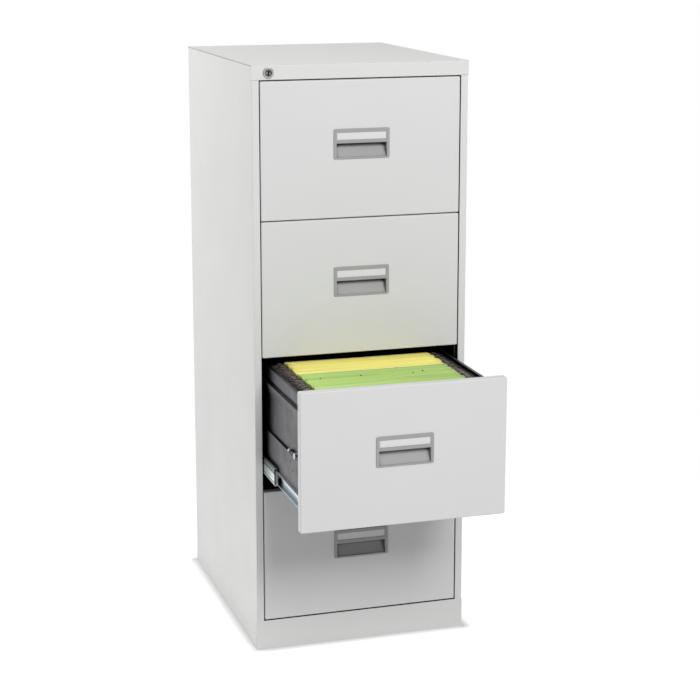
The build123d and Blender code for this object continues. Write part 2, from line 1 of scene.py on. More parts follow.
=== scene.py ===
import bmesh
import bpy
import random
from math import cos, pi, radians, sin
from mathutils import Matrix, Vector


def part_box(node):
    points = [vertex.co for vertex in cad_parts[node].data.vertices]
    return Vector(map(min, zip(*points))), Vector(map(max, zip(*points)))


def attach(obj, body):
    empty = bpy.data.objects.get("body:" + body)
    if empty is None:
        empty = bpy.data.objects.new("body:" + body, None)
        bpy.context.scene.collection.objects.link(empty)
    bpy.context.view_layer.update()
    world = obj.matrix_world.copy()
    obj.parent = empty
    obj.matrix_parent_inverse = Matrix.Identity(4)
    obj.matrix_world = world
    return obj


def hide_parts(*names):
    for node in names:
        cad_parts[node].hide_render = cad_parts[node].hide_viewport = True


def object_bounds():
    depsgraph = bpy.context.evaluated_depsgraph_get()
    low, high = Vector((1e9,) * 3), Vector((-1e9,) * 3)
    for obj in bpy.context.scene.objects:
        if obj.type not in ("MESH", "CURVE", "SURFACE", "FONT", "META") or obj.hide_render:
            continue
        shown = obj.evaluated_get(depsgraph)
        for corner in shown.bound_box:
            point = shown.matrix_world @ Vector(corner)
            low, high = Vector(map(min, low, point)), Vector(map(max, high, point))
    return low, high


# Steel filing cabinet with four drawers, the third one standing open.
# Metres, in the frame of the CAD model: x to the right seen from the front, y to the back.

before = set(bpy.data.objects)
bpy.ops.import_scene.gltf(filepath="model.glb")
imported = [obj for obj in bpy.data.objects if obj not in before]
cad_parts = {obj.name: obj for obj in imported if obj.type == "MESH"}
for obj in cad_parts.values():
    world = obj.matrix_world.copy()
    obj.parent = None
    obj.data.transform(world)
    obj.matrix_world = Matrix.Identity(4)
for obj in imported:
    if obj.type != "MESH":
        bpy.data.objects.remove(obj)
cad_low, cad_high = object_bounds()
chance = random.Random(7)

DRAWERS = (1, 2, 3, 4)
OPEN_DRAWER = 3
MM = 0.001

# Heights that repeat from drawer to drawer
DRAWER_PITCH = 304.8 * MM
SLIDE_HEIGHT = 130.8 * MM
TIE_HEIGHT = 217.1 * MM

# Where the ties, the lock and the hanging rails are
TIE_PLACE = 218.3 * MM
TIE_SHANK = 2.8 * MM
LOCK_CENTRE = (-209 * MM, 1304.5 * MM)
PLUG_RADIUS = 7.2 * MM
PLUG_RIM = (6.1 * MM, 7.4 * MM)
KEYWAY_HALF = (1.5 * MM, 4.4 * MM)
RAIL_PLACE = 195 * MM

# Limits of the faces that look into the carcass and into the drawers, painted dark as shade
INSIDE_X = 245.75 * MM
INSIDE_Y = 309.8 * MM
INSIDE_Z = (0.5 * MM, 1319.75 * MM)
TRAY_X = 211.5 * MM
SIDEWAYS = 0.25

# Bends of the side panels, painted darker as shade along them
BEND_SKIN = 0.8 * MM
FRONT_BEND = 2.8 * MM
TOP_BEND = 2.6 * MM

# Slides: spans across from the cabinet's middle plane
INNER_WEB = (218.4 * MM, 219.9 * MM)
BALL_STRIPS = (222.9 * MM, 227.05 * MM)
OUTER_FACE = (227.7 * MM, 228.55 * MM)

# Slides: spans above and below the middle of the slide
INNER_STRIP = (13.85 * MM, 17.05 * MM)
OUTER_STRIP = (18.35 * MM, 21.4 * MM)
REFLECTION_FADE = (-1.5 * MM, 0.5 * MM)
WEB_EDGE = (9.8 * MM, 11.3 * MM)
SHADED_LIP = 9.2 * MM
UPPER_LINE = (5.6 * MM, 9.4 * MM)
LOWER_LINE = (-14.4 * MM, -11.6 * MM)
TOP_LINE = 16.8 * MM

# Camera, solved from the outline of the cabinet
CAMERA_PLACE = (-1.1956, -4.0758, 1.6253)
CAMERA_AZIMUTH = -17.25
CAMERA_ELEVATION = 11.874
CAMERA_LENS = 93.407
CAMERA_SENSOR = 36.0
CAMERA_SHIFT = -0.07

# Light and floor
AMBIENT = 0.25
LIGHT_TARGET = (0, 0, 0.7)
LEFT_LAMP = {"place": (-3.0, 1.8, 2.6), "size": (1.8, 1.8), "power": 91}
FRONT_LAMP = {"place": (0.5, -4.3, 3.45), "size": (2.2, 1.8), "power": 150}
FLOOR_RADIUS = 6.0
FLOOR_SEGMENTS = 96
FLOOR_TONE = 0.76
FLOOR_LIFT = 0.62
# Painted contact shadow: the floor glows less close to the footprint
CONTACT_SHADOW_LIFT = 0.1
CONTACT_SHADOW_WIDTH = 0.03
FLOOR_FADE = (0.35, 1.3)

# Tones, as they are seen in sRGB
PAINT = (223, 223, 222)
FRONT_PAINT = (221, 221, 221)
# Painted shade inside the carcass, in the gap beside the drawers and inside them
INTERIOR_SHADE = (9, 9, 10)
DRAWER_GREY = (75, 75, 79)
BLACK_STEEL = (16, 16, 17)
ZINC = (205, 212, 220)
# Painted darker reflection on the lower half of the inner web
LOWER_WEB_REFLECTION = (112, 138, 146)
# Dark ball strips, partly painted shade in the slides' channels
STRIP_AND_CHANNEL_SHADE = (40, 42, 44)
GREASED_DARK = (168, 188, 182)
GREASED_PALE = (232, 242, 236)
# Painted shade on the outer face's lip and in its folds, and along the inner web's edges
LIP_SHADE = (108, 116, 118)
FOLD_LINE_SHADE = (12, 14, 16)
WEB_EDGE_SHADE = (52, 58, 62)
# Painted shade on the ties' shanks
SHANK_SHADE = (58, 58, 60)
HANDLE_GREY = (163, 163, 163)
CARD = (228, 228, 228)
NICKEL = (178, 178, 178)
# Tarnish of the plug, also painted shade against the lock's housing; then painted shade in the
# keyway and round the plug
PLUG_TARNISH_AND_SHADE = (74, 74, 76)
KEYWAY_SHADE = (22, 22, 24)
LOCK_STEEL = (150, 152, 156)
GREEN = (187, 218, 127)
YELLOW = (255, 244, 136)
HOOK_BROWN = (72, 59, 55)

# Scene-linear colours
WHITE = (1.0, 1.0, 1.0)
FLECK = (0.03, 0.05, 0.02)

# Textures drawn out along the drawer's travel, and across it
DRAWN = (1.0, 0.02, 1.0)
STREAKED = (1.0, 0.03, 1.0)
FOLDED_FINE = (0.015, 1.0, 0.1)
FOLDED_WIDE = (0.02, 1.0, 0.1)
FIBROUS = (0.25, 1.0, 1.0)
LENGTHENED = (1.0, 0.35, 0.0)

# Gloss, roughness, and the dust on faces that look up, whose paler tone is partly a painted sheen
PAINT_GLOSS = 0.45
PAPER_ROUGHNESS = 0.72
HOOK_ROUGHNESS = 0.34
UPWARD = (0.8, 0.98)
DUST_AND_SHEEN_TONE = 1.08
DUST_GLOSS = 0.32
DUST_ROUGHNESS = 0.42

# Gap between drawer and carcass, which lies in deep shade: reach, and the range of openness
GAP_SHADE = (75 * MM, 0.5, 0.82)

BEVEL_SAMPLES = 4
OCCLUSION_SAMPLES = 8
FLAT_FACING = 0.995
SHARP_FACING = 0.9

# Colour sockets of the node that mixes colours
MIX_FIRST = 6
MIX_SECOND = 7
MIX_RESULT = 2


def linear(tone):
    """Scene-linear colour of an sRGB tone written in 0 to 255."""
    parts = [part / 255 for part in tone]
    return tuple(p / 12.92 if p <= 0.04045 else ((p + 0.055) / 1.055) ** 2.4 for p in parts)


def shade(tone, factor):
    """The tone made lighter or darker."""
    return tuple(min(255, part * factor) for part in tone)


class Nodes:
    """The nodes of a material or of the world, and arithmetic on their outputs."""

    def __init__(self, owner):
        owner.use_nodes = True
        self.tree = owner.node_tree

    def add(self, kind, **settings):
        """New node with its settings."""
        node = self.tree.nodes.new(kind)
        for key, value in settings.items():
            setattr(node, key, value)
        return node

    def join(self, value, socket):
        """Link an output to a socket, or set the socket's own value."""
        if isinstance(value, bpy.types.NodeSocket):
            self.tree.links.new(value, socket)
        elif isinstance(value, tuple) and len(socket.default_value) == 4:
            socket.default_value = (*value, 1.0)
        else:
            socket.default_value = value

    def math(self, operation, first, second=0.0):
        """Arithmetic on one value or two."""
        node = self.add("ShaderNodeMath", operation=operation)
        self.join(first, node.inputs[0])
        self.join(second, node.inputs[1])
        return node.outputs[0]

    def vector_math(self, operation, first, second=(0.0, 0.0, 0.0)):
        """Arithmetic on one vector or two."""
        node = self.add("ShaderNodeVectorMath", operation=operation)
        self.join(first, node.inputs[0])
        self.join(second, node.inputs[1])
        return node.outputs

    def spread(self, value, low, high, to_low=0.0, to_high=1.0):
        """The value carried smoothly from one range to another."""
        node = self.add("ShaderNodeMapRange", interpolation_type="SMOOTHSTEP")
        self.join(value, node.inputs["Value"])
        ends = {"From Min": low, "From Max": high, "To Min": to_low, "To Max": to_high}
        for key, end in ends.items():
            self.join(end, node.inputs[key])
        return node.outputs[0]

    def every(self, *masks):
        """The product of the masks: 1 where all of them are 1."""
        total = masks[0]
        for mask in masks[1:]:
            total = self.math("MULTIPLY", total, mask)
        return total

    def either(self, *masks):
        """The largest of the masks: 1 where one of them is 1."""
        total = masks[0]
        for mask in masks[1:]:
            total = self.math("MAXIMUM", total, mask)
        return total

    def view_ray(self):
        """1 for rays that show the surroundings: seen directly, in gloss or through glass."""
        path = self.add("ShaderNodeLightPath").outputs
        kinds = ("Is Camera Ray", "Is Glossy Ray", "Is Transmission Ray")
        return self.either(*[path[kind] for kind in kinds])


class Finish(Nodes):
    """A material built round one Principled shader, its textures laid out in metres."""

    def __init__(self, name, metallic=0.0, specular=0.5):
        self.material = bpy.data.materials.new(name)
        super().__init__(self.material)
        self.shader = self.tree.nodes["Principled BSDF"]
        self.put("Metallic", metallic)
        self.put("Specular IOR Level", specular)
        self.place = self.add("ShaderNodeTexCoord").outputs["Object"]

    def put(self, socket, value):
        """Set a socket of the shader, or link it."""
        self.join(value, self.shader.inputs[socket])

    def texture(self, kind, scale, stretch, **settings):
        """Texture with about that many waves to a metre, stretched along the axes."""
        mapping = self.add("ShaderNodeMapping")
        self.join(self.place, mapping.inputs["Vector"])
        self.join(stretch, mapping.inputs["Scale"])
        texture = self.add(kind, **settings)
        self.join(mapping.outputs[0], texture.inputs["Vector"])
        self.join(scale, texture.inputs["Scale"])
        return texture

    def noise(self, scale, detail=2.0, stretch=(1.0, 1.0, 1.0)):
        """Soft noise."""
        texture = self.texture("ShaderNodeTexNoise", scale, stretch)
        self.join(detail, texture.inputs["Detail"])
        return texture.outputs[0]

    def cells(self, scale, stretch=(1.0, 1.0, 1.0), dimensions="3D"):
        """Distance to the middles of small cells."""
        settings = {"voronoi_dimensions": dimensions}
        texture = self.texture("ShaderNodeTexVoronoi", scale, stretch, **settings)
        return texture.outputs["Distance"]

    def blend(self, factor, first, second):
        """Colour between two, by a factor."""
        node = self.add("ShaderNodeMix", data_type="RGBA")
        self.join(factor, node.inputs["Factor"])
        self.join(first, node.inputs[MIX_FIRST])
        self.join(second, node.inputs[MIX_SECOND])
        return node.outputs[MIX_RESULT]

    def within(self, value, span):
        """1 where the value lies between two limits."""
        above = self.math("GREATER_THAN", value, span[0])
        return self.every(above, self.math("LESS_THAN", value, span[1]))

    def split(self, vector):
        """The three coordinates of a vector."""
        node = self.add("ShaderNodeSeparateXYZ")
        self.join(vector, node.inputs[0])
        return node.outputs

    def axes(self):
        """The three coordinates of the place."""
        return self.split(self.place)

    def across(self):
        """Distance from the cabinet's middle plane."""
        return self.math("ABSOLUTE", self.axes()[0])

    def height_from(self, level):
        """Height above or below a level that every drawer has."""
        raised = self.math("SUBTRACT", self.axes()[2], level - DRAWER_PITCH / 2)
        folded = self.math("FLOORED_MODULO", raised, DRAWER_PITCH)
        return self.math("SUBTRACT", folded, DRAWER_PITCH / 2)

    def radius(self, first, second):
        """Distance from a centre, from the distances along two axes."""
        squares = [self.math("MULTIPLY", value, value) for value in (first, second)]
        return self.math("SQRT", self.math("ADD", *squares))

    def normal(self):
        """The surface's own normal."""
        return self.add("ShaderNodeNewGeometry").outputs["Normal"]

    def rounded(self, radius):
        """The normal with its edges rounded."""
        bevel = self.add("ShaderNodeBevel", samples=BEVEL_SAMPLES)
        self.join(radius, bevel.inputs["Radius"])
        return bevel.outputs[0]

    def relief(self, *layers, edge):
        """Normal from rounded edges and layers of (height, strength, depth)."""
        normal = self.rounded(edge)
        for height, strength, depth in layers:
            bump = self.add("ShaderNodeBump")
            self.join(strength, bump.inputs["Strength"])
            self.join(depth, bump.inputs["Distance"])
            self.join(height, bump.inputs["Height"])
            self.join(normal, bump.inputs["Normal"])
            normal = bump.outputs[0]
        self.put("Normal", normal)

    def polish(self, marks, rough, strength, depth, edge):
        """Roughness and relief from the marks of drawing or polishing."""
        self.put("Roughness", self.spread(marks, 0.3, 0.7, *rough))
        self.relief((marks, strength, depth), edge=edge)

    def crevices(self, reach, shut=0.35, clear=0.95):
        """Near 1 in corners and recesses, and 0 in the open."""
        openness = self.add("ShaderNodeAmbientOcclusion", samples=OCCLUSION_SAMPLES)
        self.join(reach, openness.inputs["Distance"])
        return self.spread(openness.outputs["AO"], shut, clear, 1.0, 0.0)

    def edges(self, radius):
        """Near 1 along sharp edges and 0 on flat ground."""
        facing = self.vector_math("DOT_PRODUCT", self.rounded(radius), self.normal())
        return self.spread(facing["Value"], FLAT_FACING, SHARP_FACING)


def bend_shade_mask(finish):
    """1 along the bends of the side panels at the front and the top, where shade is painted."""
    x, y, z = finish.axes()
    outer = finish.math("GREATER_THAN", finish.math("ABSOLUTE", x), cad_high.x - BEND_SKIN)
    carcass_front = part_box("left_side_panel")[0].y
    front = finish.within(y, (carcass_front, carcass_front + FRONT_BEND))
    top = finish.math("GREATER_THAN", z, cad_high.z - TOP_BEND)
    return finish.every(outer, finish.either(front, top))


def dust_and_sheen_mask(finish):
    """1 on faces that look up, where fine dust dulls the paint and a paler tone paints in sheen."""
    return finish.spread(finish.split(finish.normal())[2], *UPWARD)


def interior_shade_mask(finish):
    """1 on the faces inside the carcass, painted dark as the shade that fills it."""
    x, y, z = finish.axes()
    beside = finish.math("LESS_THAN", finish.math("ABSOLUTE", x), INSIDE_X)
    return finish.every(beside, finish.within(y, (-INSIDE_Y, INSIDE_Y)), finish.within(z, INSIDE_Z))


def inward_shade_mask(finish):
    """1 on the faces of the drawer's sheets that look into the drawer, and on its tray, where shade
    is painted.
    """
    x = finish.axes()[0]
    tray = finish.math("LESS_THAN", finish.math("ABSOLUTE", x), TRAY_X)
    away = finish.split(finish.normal())[0]
    outward = finish.every(away, finish.math("SIGN", x))
    return finish.either(tray, finish.math("LESS_THAN", outward, SIDEWAYS))


def paint(name, tone, carcass=False):
    """Light powder coat with orange peel, faint clouding and a painted highlight along its edges."""
    finish = Finish(name, specular=PAINT_GLOSS)
    cloud = finish.noise(2.6, 3.0)
    colour = finish.blend(cloud, linear(shade(tone, 0.99)), linear(shade(tone, 1.01)))
    # painted highlight along the edges
    colour = finish.blend(finish.edges(1.5 * MM), colour, linear(shade(tone, 1.06)))
    roughness = finish.spread(finish.noise(9.0, 4.0), 0.3, 0.7, 0.36, 0.48)
    if carcass:
        facing_up = dust_and_sheen_mask(finish)
        # faces that look up made paler: dust, and partly a painted sheen
        colour = finish.blend(facing_up, colour, linear(shade(tone, DUST_AND_SHEEN_TONE)))
        # painted shade along the bends at the front and the top
        colour = finish.blend(bend_shade_mask(finish), colour, linear(shade(tone, 0.8)))
        # painted shade on the faces inside the carcass
        colour = finish.blend(interior_shade_mask(finish), colour, linear(INTERIOR_SHADE))
        duller = finish.math("MULTIPLY", facing_up, DUST_ROUGHNESS)
        roughness = finish.math("ADD", roughness, duller)
        gloss = finish.spread(facing_up, 0.0, 1.0, PAINT_GLOSS, DUST_GLOSS)
        finish.put("Specular IOR Level", gloss)
    finish.put("Base Color", colour)
    finish.put("Roughness", roughness)
    peel = finish.noise(620.0, 1.0)
    grain = finish.noise(1900.0, 2.0)
    finish.relief((peel, 0.12, 0.2 * MM), (grain, 0.06, 0.1 * MM), edge=1.2 * MM)
    return finish.material


def dark_paint(name, tone, roughness, drawer=False):
    """Darker satin paint on folded sheet, with scuffs, a painted highlight along its edges and, on
    the drawers, painted shade in the gap and inside.
    """
    finish = Finish(name, specular=0.4)
    cloud = finish.noise(5.0, 4.0)
    colour = finish.blend(cloud, linear(shade(tone, 0.96)), linear(shade(tone, 1.04)))
    # painted highlight along the edges
    colour = finish.blend(finish.edges(1 * MM), colour, linear(shade(tone, 1.25)))
    if drawer:
        # painted shade in the gap between drawer and carcass
        colour = finish.blend(finish.crevices(*GAP_SHADE), colour, linear(INTERIOR_SHADE))
        # painted shade on the faces inside the drawer
        colour = finish.blend(inward_shade_mask(finish), colour, linear(INTERIOR_SHADE))
    finish.put("Base Color", colour)
    scuffs = finish.noise(30.0, 5.0)
    finish.put("Roughness", finish.spread(scuffs, 0.35, 0.75, roughness - 0.06, roughness + 0.1))
    finish.relief((finish.noise(700.0, 1.0), 0.12, 0.2 * MM), edge=0.6 * MM)
    return finish.material


def lock_steel():
    """Plated steel of the lock's parts, with drawing marks and a little bloom."""
    finish = Finish("lock_steel_finish", metallic=1.0)
    bloom = finish.noise(38.0, 3.0)
    finish.put("Base Color", finish.blend(bloom, linear(shade(LOCK_STEEL, 0.9)), linear(LOCK_STEEL)))
    finish.polish(finish.noise(900.0, 2.0, DRAWN), (0.29, 0.46), 0.1, 0.08 * MM, 0.5 * MM)
    return finish.material


def outer_face_colour(finish, height):
    """Zinc of the outer face: streaks of grease, painted shade on its lip and painted shade lines in
    its folds.
    """
    streaks = finish.spread(finish.noise(260.0, 2.0, STREAKED), 0.4, 0.6)
    colour = finish.blend(streaks, linear(GREASED_DARK), linear(GREASED_PALE))
    lip = finish.math("GREATER_THAN", height, SHADED_LIP)
    # painted shade on the lip
    colour = finish.blend(lip, colour, linear(LIP_SHADE))
    top = finish.math("GREATER_THAN", height, TOP_LINE)
    folds = [finish.within(height, span) for span in (UPPER_LINE, LOWER_LINE)]
    # painted shade lines in the folds and along the top
    return finish.blend(finish.either(*folds, top), colour, linear(FOLD_LINE_SHADE))


def zinc():
    """Zinc plating of the slides, with a painted darker reflection on the inner web's lower half,
    dark ball strips that are partly painted shade, and painted shade along the web's edges.
    """
    finish = Finish("zinc_finish", metallic=1.0)
    across = finish.across()
    height = finish.height_from(SLIDE_HEIGHT)
    reach = finish.math("ABSOLUTE", height)
    colour = finish.blend(finish.noise(38.0, 3.0), linear(shade(ZINC, 0.88)), linear(ZINC))
    web = finish.within(across, INNER_WEB)
    # painted darker reflection on the lower half of the inner web
    web_reflection = finish.every(web, finish.spread(height, *REFLECTION_FADE, 1.0, 0.0))
    colour = finish.blend(web_reflection, colour, linear(LOWER_WEB_REFLECTION))
    # dark ball strips, partly painted shade in the channels
    strips = [finish.within(reach, span) for span in (INNER_STRIP, OUTER_STRIP)]
    strip = finish.every(finish.within(across, BALL_STRIPS), finish.either(*strips))
    colour = finish.blend(strip, colour, linear(STRIP_AND_CHANNEL_SHADE))
    outer_face = finish.within(across, OUTER_FACE)
    colour = finish.blend(outer_face, colour, outer_face_colour(finish, height))
    # painted shade lines along the edges of the inner web
    web_edge = finish.every(web, finish.within(reach, WEB_EDGE))
    colour = finish.blend(web_edge, colour, linear(WEB_EDGE_SHADE))
    finish.put("Base Color", colour)
    finish.polish(finish.noise(900.0, 2.0, DRAWN), (0.2, 0.36), 0.1, 0.08 * MM, 0.4 * MM)
    return finish.material


def bolts():
    """Bright zinc on the heads, painted shade on the shanks of the ties."""
    finish = Finish("bolt_finish", metallic=1.0)
    aside = finish.math("SUBTRACT", finish.across(), TIE_PLACE)
    radius = finish.radius(aside, finish.height_from(TIE_HEIGHT))
    # painted shade on the shank, which lies in shadow
    shaded_shank = finish.math("LESS_THAN", radius, TIE_SHANK)
    colour = finish.blend(finish.noise(90.0, 3.0), linear(shade(ZINC, 0.85)), linear(ZINC))
    finish.put("Base Color", finish.blend(shaded_shank, colour, linear(SHANK_SHADE)))
    finish.polish(finish.noise(900.0, 2.0), (0.22, 0.4), 0.12, 0.1 * MM, 0.4 * MM)
    return finish.material


def nickel():
    """Nickel plating of the lock, its plug tarnished, with painted shade against the housing, round
    the plug's rim and in the keyway.
    """
    finish = Finish("nickel_finish", metallic=1.0)
    axes = finish.axes()
    aside = finish.math("SUBTRACT", axes[0], LOCK_CENTRE[0])
    above = finish.math("SUBTRACT", axes[2], LOCK_CENTRE[1])
    radius = finish.radius(aside, above)
    colour = finish.blend(finish.noise(60.0, 3.0), linear(shade(NICKEL, 0.85)), linear(NICKEL))
    # painted shade where the lock meets the header
    colour = finish.blend(finish.crevices(3 * MM), colour, linear(PLUG_TARNISH_AND_SHADE))
    tarnish = finish.spread(finish.noise(330.0, 2.0), 0.4, 0.6, 0.35, 1.0)
    plug = finish.math("LESS_THAN", radius, PLUG_RADIUS)
    colour = finish.blend(finish.every(plug, tarnish), colour, linear(PLUG_TARNISH_AND_SHADE))
    # painted shade round the plug's rim and in the keyway
    narrow = finish.math("LESS_THAN", finish.math("ABSOLUTE", aside), KEYWAY_HALF[0])
    short = finish.math("LESS_THAN", finish.math("ABSOLUTE", above), KEYWAY_HALF[1])
    dark = finish.either(finish.within(radius, PLUG_RIM), finish.every(narrow, short))
    finish.put("Base Color", finish.blend(dark, colour, linear(KEYWAY_SHADE)))
    finish.polish(finish.noise(1200.0, 2.0), (0.18, 0.34), 0.1, 0.06 * MM, 0.5 * MM)
    return finish.material


def handle_plastic():
    """Moulded plastic with a fine spark-eroded grain, a painted highlight on its edges and painted
    shade in its recess.
    """
    finish = Finish("handle_finish", specular=0.45)
    pale = linear(shade(HANDLE_GREY, 1.02))
    colour = finish.blend(finish.noise(14.0, 2.0), linear(shade(HANDLE_GREY, 0.975)), pale)
    # painted highlight along the edges
    colour = finish.blend(finish.edges(1.2 * MM), colour, linear(shade(HANDLE_GREY, 1.1)))
    # painted shade in the recess and its corners
    colour = finish.blend(finish.crevices(11 * MM), colour, linear(shade(HANDLE_GREY, 0.42)))
    finish.put("Base Color", colour)
    pits = finish.cells(1500.0)
    finish.put("Roughness", finish.spread(pits, 0.1, 0.6, 0.45, 0.58))
    finish.relief((pits, 0.25, 0.08 * MM), edge=0.7 * MM)
    return finish.material


def fold_shade_and_highlight(finish, colour, tone, depth):
    """Darker and paler lines along the folds of the files: painted shade between the files and
    painted highlight on their crests, with the card's uneven tone.
    """
    # painted shade lines along the folds
    darker = finish.spread(finish.noise(150.0, 2.0, FOLDED_FINE), 0.5, 0.62, 0.0, 0.7)
    colour = finish.blend(darker, colour, linear(shade(tone, 1 - depth)))
    pale = tuple(part + (255 - part) * 0.3 for part in tone)
    # painted highlight lines along the crests
    lighter = finish.spread(finish.noise(48.0, 1.0, FOLDED_WIDE), 0.5, 0.66, 0.0, 0.7)
    return finish.blend(lighter, colour, linear(pale))


def paper(name, tone, lines=0.0, specks=False):
    """Pressed card: fibres, painted shade and highlight lines along the folds and small flecks."""
    finish = Finish(name, specular=0.25)
    finish.put("Roughness", PAPER_ROUGHNESS)
    fibres = finish.noise(520.0, 4.0, FIBROUS)
    colour = finish.blend(fibres, linear(shade(tone, 0.975)), linear(shade(tone, 1.015)))
    if lines:
        colour = fold_shade_and_highlight(finish, colour, tone, lines)
    if specks:
        spots = finish.cells(34.0, LENGTHENED, "2D")
        flecks = finish.spread(spots, 0.045, 0.06, 1.0, 0.0)
        chosen = finish.spread(finish.noise(13.0, 0.0), 0.53, 0.54)
        colour = finish.blend(finish.every(flecks, chosen), colour, FLECK)
    finish.put("Base Color", colour)
    finish.relief((fibres, 0.2, 0.12 * MM), edge=0.3 * MM)
    return finish.material


def hook_plastic():
    """Brown plastic of the hooks with painted glints, each one a little different, their noses
    black.
    """
    finish = Finish("hook_finish", specular=0.6)
    finish.put("Roughness", HOOK_ROUGHNESS)
    change = finish.spread(finish.noise(130.0, 2.0), 0.4, 0.6)
    light = linear(shade(HOOK_BROWN, 1.35))
    colour = finish.blend(change, linear(shade(HOOK_BROWN, 0.5)), light)
    # painted glints: small highlights on the plastic
    glints = finish.spread(finish.noise(210.0, 1.0), 0.66, 0.7)
    colour = finish.blend(glints, colour, linear(shade(HOOK_BROWN, 2.2)))
    nose = finish.math("GREATER_THAN", finish.across(), RAIL_PLACE - 3.4 * MM)
    finish.put("Base Color", finish.blend(nose, colour, linear(BLACK_STEEL)))
    finish.relief((finish.noise(400.0, 2.0), 0.2, 0.2 * MM), edge=0.6 * MM)
    return finish.material


def make_finishes():
    """Every material by the record's slot that it stands for."""
    return {
        "carcass_paint": paint("carcass_finish", PAINT, carcass=True),
        "front_paint": paint("front_finish", FRONT_PAINT),
        "drawer_paint": dark_paint("drawer_finish", DRAWER_GREY, 0.4, drawer=True),
        "black_steel": dark_paint("black_finish", BLACK_STEEL, 0.34),
        "slide_zinc": zinc(),
        "handle_plastic": handle_plastic(),
        "label_card": paper("card_finish", CARD),
        "lock_metal": nickel(),
        "lock_steel": lock_steel(),
        "bolt_zinc": bolts(),
        "file_green": paper("green_finish", GREEN, lines=0.14, specks=True),
        "file_yellow": paper("yellow_finish", YELLOW, lines=0.08),
        "hook_plastic": hook_plastic(),
    }


finishes = make_finishes()


def dress(name):
    """Give a CAD node the finish of its slot."""
    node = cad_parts[name]
    for slot in node.material_slots:
        slot.material = finishes[slot.material.name]


for node_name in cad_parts:
    dress(node_name)


# Pieces built here

FOLD_ANGLE = radians(38)
BEVEL_SEGMENTS = 2


def built_mesh(name, builder):
    """The finished mesh of what was built."""
    mesh = bpy.data.meshes.new(name)
    builder.to_mesh(mesh)
    builder.free()
    return mesh


def new_piece(name, mesh, body, slot, *nodes):
    """Put a finished mesh in the scene, riding on a body and standing for nodes."""
    piece = bpy.data.objects.new(name, mesh)
    bpy.context.collection.objects.link(piece)
    mesh.materials.append(finishes[slot])
    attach(piece, body)
    if nodes:
        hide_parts(*nodes)
    return piece


def new_solid(name, builder, softness, body, slot, *nodes):
    """Put closed forms in the scene, their edges rounded."""
    bmesh.ops.recalc_face_normals(builder, faces=builder.faces)
    piece = new_piece(name, built_mesh(name, builder), body, slot, *nodes)
    soften = piece.modifiers.new("rounded", "BEVEL")
    soften.width = softness
    soften.segments = BEVEL_SEGMENTS
    soften.limit_method = "ANGLE"


def add_closed_form(builder, *rings):
    """Closed form between two rings of points that match one another."""
    near, far = [[builder.verts.new(point) for point in ring] for ring in rings]
    builder.faces.new(near)
    builder.faces.new(far[::-1])
    count = len(near)
    for index in range(count):
        after = (index + 1) % count
        builder.faces.new((near[index], far[index], far[after], near[after]))


# Hanging files, each a sling of card folded over two bars

GREEN_COUNT = 12
YELLOW_COUNT = 7
CARD_SHEET = 0.45 * MM
FILE_STEPS = 18
FILE_GAP = 0.5 * MM
FILE_INSET = 0.3 * MM
FOLD_STEPS = 6
FLAP = 16 * MM
FLAP_LEAN = 0.7
CREST = 2.4 * MM
CREST_SHARE = 0.94
SHOULDER = 2.6 * CREST
CREST_GAP = 0.7 * MM
FLOOR_SHARE = 1.1
FLOOR_ROUNDING = (1.0 * MM, 1.5 * MM)

# How uneven the files are: sag, ends that fall short, and waves that fade out below the top
SAG_MOST = 1.6 * MM
SHORT_MOST = 3.8 * MM
WAVE = 0.3 * MM
SAG_WAVES = 5.0
SWAY_WAVES = 4.2
LOOSE_HEIGHT = 60 * MM


def fold_over(middle, top, half, inward):
    """Points from a flap's free edge, over its bar, to the start of the outer wall."""
    points = [
        (middle + inward * half * FLAP_LEAN, top - FLAP),
        (middle + inward * half, top - SHOULDER),
    ]
    for step in range(FOLD_STEPS + 1):
        angle = pi * step / FOLD_STEPS
        aside = inward * half * cos(angle) * CREST_SHARE
        points.append((middle + aside, top - CREST + CREST * sin(angle)))
    points.append((middle - inward * half, top - SHOULDER))
    return points


def sling_outline(low, high, foot, top):
    """Section of one file from flap to flap, down its walls and round its foot."""
    quarter = (high - low) / 4
    half = quarter - CREST_GAP
    middle = (low + high) / 2
    edge = middle - quarter * FLOOR_SHARE
    inset, rise = FLOOR_ROUNDING
    first = fold_over(low + quarter, top, half, 1)
    last = fold_over(high - quarter, top, half, -1)
    floor = [(edge, foot + rise), (edge + inset, foot)]
    floor += [(2 * middle - y, z) for y, z in reversed(floor)]
    return first + floor + last[::-1]


def add_sling(builder, outline, half_width, top):
    """One file: its section swept across the drawer, a little uneven."""
    drops = [chance.uniform(0.0, SAG_MOST) for _ in range(4)]
    phase = chance.uniform(0, 2 * pi)
    ends = [chance.uniform(0.0, SHORT_MOST) for _ in range(4)]
    middle = sum(y for y, z in outline) / len(outline)
    rows = []
    for step in range(FILE_STEPS + 1):
        share = step / FILE_STEPS
        row = []
        for y, z in outline:
            near_top = max(0.0, 1 - (top - z) / LOOSE_HEIGHT)
            back = 2 if y > middle else 0
            left = -half_width + ends[back]
            right = half_width - ends[back + 1]
            sag = drops[back] * (1 - share) + drops[back + 1] * share
            sag += WAVE * (1 + sin(phase + back + SAG_WAVES * share))
            sway = WAVE * sin(phase * 2 + SWAY_WAVES * share)
            x = left + (right - left) * share
            row.append(builder.verts.new((x, y + sway * near_top, z - sag * near_top)))
        rows.append(row)
    for one, other in zip(rows, rows[1:]):
        for index in range(len(outline) - 1):
            builder.faces.new((one[index], one[index + 1], other[index + 1], other[index]))


